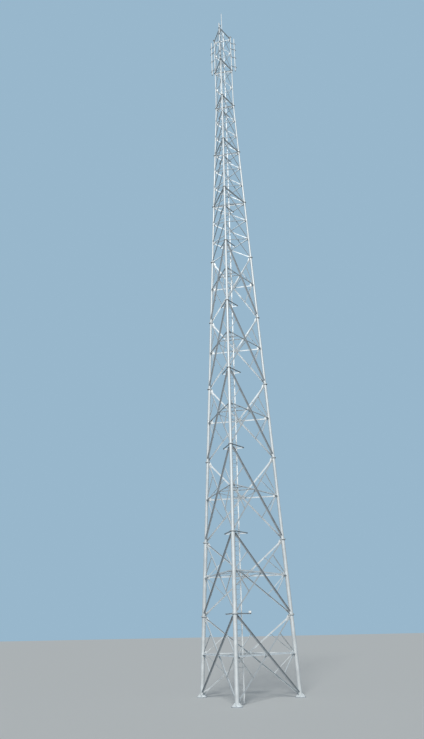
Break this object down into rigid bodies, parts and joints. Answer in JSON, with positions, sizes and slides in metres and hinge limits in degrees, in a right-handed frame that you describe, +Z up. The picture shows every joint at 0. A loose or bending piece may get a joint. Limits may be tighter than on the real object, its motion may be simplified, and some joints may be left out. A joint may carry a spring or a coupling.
{
  "type": "1:2 scale model of a three-legged lattice telecom tower",
  "caption": "Tapering three-legged lattice mast of round flanged tubes with angle bracing, an inside ladder, empty antenna poles round its straight head and a lightning rod.",
  "frame": {"origin": "middle of the front foot's flat underside", "axes": "+Z up, +Y from the front leg towards the tower's axis and its back face, +X to the right seen from the front"},
  "size_m": [3.64, 3.1992, 33.07],
  "materials": {
    "galvanised_leg": "hot-dip galvanised, weathered matt",
    "galvanised_angle": "hot-dip galvanised, weathered matt",
    "galvanised_fitting": "darker galvanised fittings",
    "lamp_white": "white powder coat"
  },
  "bodies": {
    "root": {"foot_front": "galvanised_fitting", "foot_right": "galvanised_fitting", "foot_left": "galvanised_fitting", "leg_front_lower": "galvanised_leg", "leg_front_middle": "galvanised_leg", "leg_front_upper": "galvanised_leg", "leg_front_head": "galvanised_leg", "leg_right_lower": "galvanised_leg", "leg_right_middle": "galvanised_leg", "leg_right_upper": "galvanised_leg", "leg_right_head": "galvanised_leg", "leg_left_lower": "galvanised_leg", "leg_left_middle": "galvanised_leg", "leg_left_upper": "galvanised_leg", "leg_left_head": "galvanised_leg", "face_right_lower": "galvanised_angle", "face_right_middle": "galvanised_angle", "face_right_upper": "galvanised_angle", "face_right_head": "galvanised_angle", "face_back_lower": "galvanised_angle", "face_back_middle": "galvanised_angle", "face_back_upper": "galvanised_angle", "face_back_head": "galvanised_angle", "face_left_lower": "galvanised_angle", "face_left_middle": "galvanised_angle", "face_left_upper": "galvanised_angle", "face_left_head": "galvanised_angle", "plan_bracing_lower": "galvanised_angle", "plan_bracing_middle": "galvanised_angle", "ladder_lower": "galvanised_leg", "ladder_middle": "galvanised_leg", "ladder_upper": "galvanised_leg", "ladder_head": "galvanised_leg", "ladder_supports": "galvanised_angle", "pole_front": "galvanised_leg", "pole_right": "galvanised_leg", "pole_left": "galvanised_leg", "pole_brackets_front": "galvanised_fitting", "pole_brackets_right": "galvanised_fitting", "pole_brackets_left": "galvanised_fitting", "lightning_rod": "galvanised_leg", "lamp_box": "lamp_white"}
  },
  "joints": []
}
